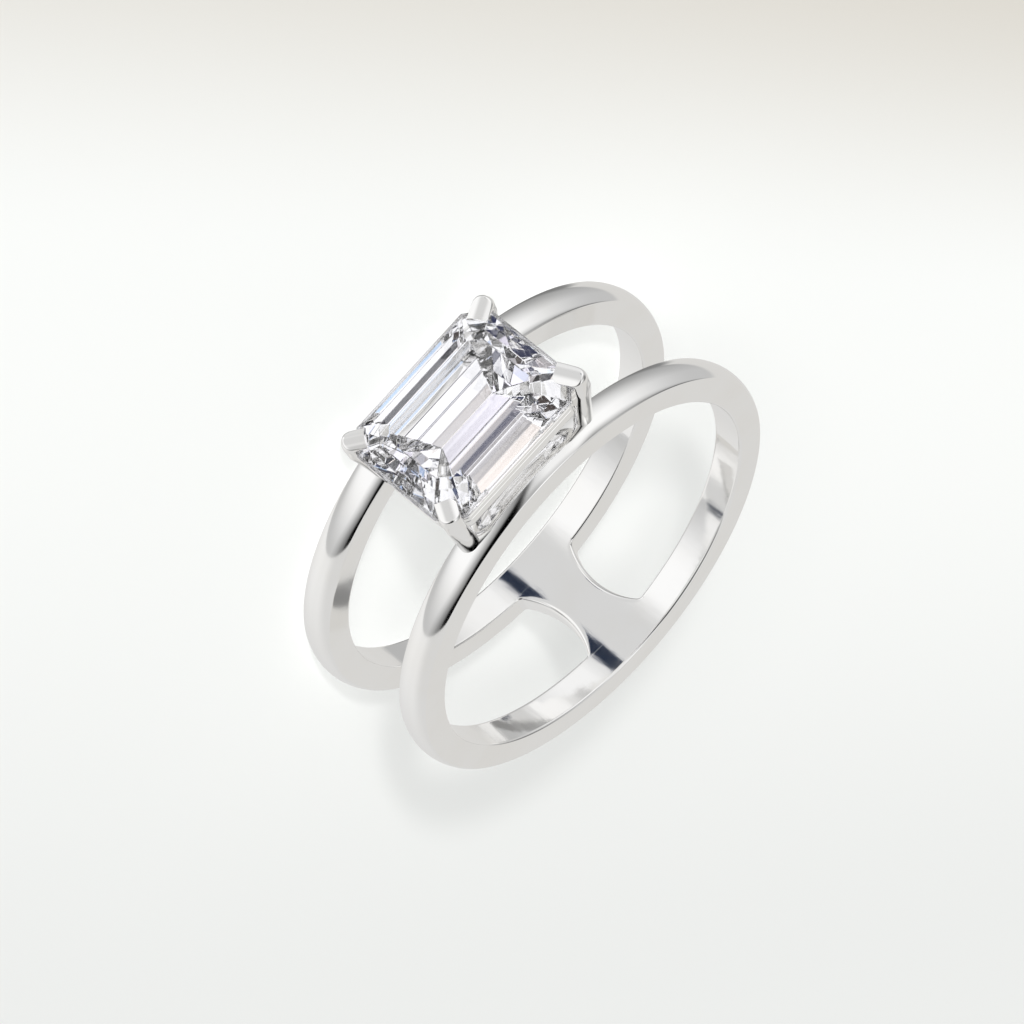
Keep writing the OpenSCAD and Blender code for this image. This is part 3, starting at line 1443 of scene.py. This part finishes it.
@dataclass
class Room:
    """The walls all round: what the metal, the stone and the floor each see of them.

    Attributes:
        front: the side before the ring.
        left: the side to its left.
        rear: the side behind it.
        meet: where the left side goes over into the front, in degrees round.
        lean: how much that line leans.
        behind: the direction of the rear, and half the width of its edge.
        behind_at: where the rear starts on the left, in degrees round.
        panel: a soft patch low at the front.
        spot: a small navy patch beside it.
        spot_tint: its colour.
        beige: where the warm panel far round to the left comes in.
        beige_level: its brightness.
        warm: the tint of that panel and of the rear.
        warm_share: how much of that tint the two take.
        gain: how bright the walls are for the metal.
        fill: how bright they are for the floor.
        plain: their colour for the stone, round its cards.
        cards: the round cards that the stone picks up.
    """

    front: Front = Front()
    left: Wall = Wall(252, (
        Shading(-62, turn=(-50, -112)),
        Shading(-36, rise=(-12, -52), smooth=False),
        Shading(-75, turn=(-34, -48), rise=(8, 32)),
        Shading(60, rise=(36, 60)),
        Shading(-34, turn=(-62, -42), rise=(18, 34)),
        Shading(-34, turn=(-18, -4), rise=(-8, 2)),
        Shading(-12, turn=(-40, -25)),
        Shading(-38, turn=(-112, -130), rise=(-25, -42)),
    ))
    rear: Wall = Wall(212, (Shading(20, turn=(180, 90), rise=(8, -18)), Shading(5, rise=(-20, -40))))
    meet: Span = (-12.0, 0.0)
    lean: float = 0.35
    behind: tuple[Point, float] = ((0.187, 0.962, 0.199), 0.012)
    behind_at: Span = (-100.0, -90.0)
    panel: Patch = Patch(-8.0, -23.0, 30.0, 30.0, 210, (0.4, 1.0))
    spot: Patch = Patch(-23.5, -23.0, 4.2, 4.8, 46, (0.866, 1.025))
    spot_tint: Colour = (0.8, 1.15, 2.1)
    beige: Shading = Shading(1.0, turn=(-122, -127), rise=(-39, -34))
    beige_level: float = 212.0
    warm: Colour = (1.0, 0.985, 0.955)
    warm_share: tuple[float, float] = (0.8, 0.35)
    gain: float = 1.06
    fill: float = 0.18
    plain: Colour = (1.2, 1.2, 1.24)
    cards: tuple[Card, ...] = (
        Card(20.5, 32.5, 19.5, 0.6, BROWN),
        Card(-58.0, 10.0, 19.5, 0.5, INK),
        Card(19.5, 17.0, 16.5, 0.8, INK),
        Card(-44.5, 64.5, 13.5, 0.4, INK),
        Card(-38.0, -11.5, 12.5, 6.5, SKY, LILAC_RIM),
        Card(-52.5, -65.0, 11.5, 2.5, SAND, BLUE_RIM),
        Card(-37.5, 3.5, 11.5, 0.4, NIGHT),
        Card(69.5, 32.5, 12.0, 0.6, NAVY, LILAC_RIM),
        Card(7.0, -5.0, 10.5, 2.0, SAND, LILAC_RIM),
        Card(-3.0, -23.5, 9.5, 1.0, NIGHT, LILAC_RIM),
        Card(-20.5, 38.5, 8.0, 2.9, NIGHT, AMBER_RIM),
        Card(-4.5, 24.5, 5.0, 6.3, SAND),
        Card(-8.0, 2.0, 3.5, 2.5, SMOKE, AMBER_RIM),
        Card(44.0, 39.0, 1.5, 4.0, INK, BLUE_RIM),
    )

    def surround(self) -> None:
        """Makes the walls the scene's world: pale all round, with one dark opening."""
        world = bpy.data.worlds.new("studio")
        bpy.context.scene.world = world
        world.use_nodes = True
        world.cycles.sampling_method = "NONE"
        graph = Graph(world.node_tree)
        way = graph.vector("NORMALIZE", {0: graph.node("ShaderNodeTexCoord").term("Generated")})
        x, y, z = graph.split(way)
        turn = x.math("ARCTAN2", y * -1.0).math("DEGREES")
        rise = z.math("ARCSINE").math("DEGREES")

        light = self.left.light(turn, rise)
        ahead = (turn - rise * self.lean).step(*self.meet)
        light = part_way(light, self.front.light(graph, turn, rise), ahead)
        light = part_way(light, self.panel.level, self.panel.share(turn, rise))
        (out_x, out_y, out_z), soft = self.behind
        behind = (x * out_x + y * out_y + z * out_z).step(-soft, soft) * turn.step(*self.behind_at)
        light = part_way(light, self.rear.light(turn, rise), behind)
        beige = self.beige.amount(turn, rise)
        light = part_way(light, self.beige_level, beige)
        spot = self.spot.share(turn, rise)
        light = part_way(light, self.spot.level, spot)
        light = (light / 255).at_least(0.0) ** GAMMA

        warm = beige * self.warm_share[0] + behind * self.warm_share[1]
        tint = graph.blend(warm, WHITE, self.warm)
        tint = graph.blend(spot, tint, self.spot_tint)
        path = graph.node("ShaderNodeLightPath")
        through, matt = path.term("Is Transmission Ray"), path.term("Is Diffuse Ray")
        seen: Colour | Term = self.plain
        for card in self.cards:
            seen = card.cover(graph, way, seen)
        colour = graph.blend(through, tint, seen)
        strength = light * self.gain * (1 - through - matt) + through + matt * self.fill
        sky = graph.node("ShaderNodeBackground", inputs={"Color": colour, "Strength": strength})
        graph.node("ShaderNodeOutputWorld", inputs={"Surface": sky})


@dataclass
class Studio:
    """The camera, the floor and the floor's lamps.

    Attributes:
        place: where the camera stands, in millimetres.
        back: the direction from the ring to the camera.
        up: the direction of the picture's upper edge.
        lens: its focal length on a 36 mm sensor.
        lamps: the lamps that light the floor.
    """

    place: Point = (40.15, -289.79, 134.51)
    back: Point = (0.12474, -0.90278, 0.41162)
    up: Point = (-0.7339, -0.36314, -0.57404)
    lens: float = 271.9
    lamps: tuple[Lamp, ...] = (
        Lamp("overhead", (0.0, -0.3, 0.95), 26.0, 2.0, False),
        Lamp("front", (0.13, -0.9, 0.42), 26.0, 1.4),
        Lamp("low", (-0.04, -0.94, 0.36), 4.0, 1.15),
    )

    def place_camera(self) -> bpy.types.Object:
        """Puts the camera where the photograph was taken from.

        Returns:
            The camera.
        """
        data = bpy.data.cameras.new("camera")
        data.sensor_width = 36.0
        data.sensor_fit = "HORIZONTAL"
        data.lens = self.lens
        data.clip_start = 0.01
        data.clip_end = 20.0
        camera = bpy.data.objects.new("camera", data)
        back = Vector(self.back).normalized()
        right = Vector(self.up).cross(back).normalized()
        turned = Matrix((right, back.cross(right), back)).transposed()
        camera.matrix_world = Matrix.Translation(Vector(self.place) * MM) @ turned.to_4x4()
        bpy.context.scene.collection.objects.link(camera)
        bpy.context.scene.camera = camera
        return camera

    def lay_floor(self) -> bpy.types.Object:
        """Lays the floor just under the ring, out of what the metal and the stone pick up.

        Returns:
            The floor.
        """
        low, high = -FLOOR_HALF, FLOOR_HALF
        corners = [(x, y, FLOOR_Z) for x, y in ((low, low), (high, low), (high, high), (low, high))]
        floor = mesh_object("floor", corners, faces=[(0, 1, 2, 3)])
        floor.data.materials.append(PaleFloor().material())
        hide_from_shine(floor)
        return floor

    def light(self) -> None:
        """Hangs the lamps that light the floor and cast soft shadows behind the ring."""
        for given in self.lamps:
            given.hang()


def dress(piece: bpy.types.Object, node: str) -> None:
    """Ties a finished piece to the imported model.

    Args:
        piece: the finished piece.
        node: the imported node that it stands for.
    """
    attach(piece, "root")
    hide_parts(node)
    LOG.info("%s: %d faces", piece.name, len(piece.data.polygons))


def main() -> None:
    """Builds the studio and the ring."""
    logging.basicConfig(level=logging.INFO, format="%(name)s %(message)s")
    scene = bpy.context.scene
    scene.view_settings.view_transform = "Standard"
    scene.cycles.max_bounces = 18
    scene.cycles.glossy_bounces = 14
    scene.cycles.transmission_bounces = 14
    studio = Studio()
    studio.place_camera()
    studio.lay_floor()
    Room().surround()
    studio.light()

    layout = Layout()
    silver = PolishedSilver().material()
    sweep = Sweep("sweep_section")
    dress(Bands(layout).build(sweep, silver), "ring")
    dress(Bridge(layout).build(silver), "ring")
    dress(GalleryRail(layout).build(sweep, silver), "ring")
    stone = Stone(layout)
    pocket = stone.shape("pocket", SLACK)
    dress(Claws(layout).build(sweep, silver, pocket), "ring")
    bpy.data.objects.remove(pocket)
    dress(stone.build(ClearGem().material()), "stone")


if __name__ == "__main__":
    main()
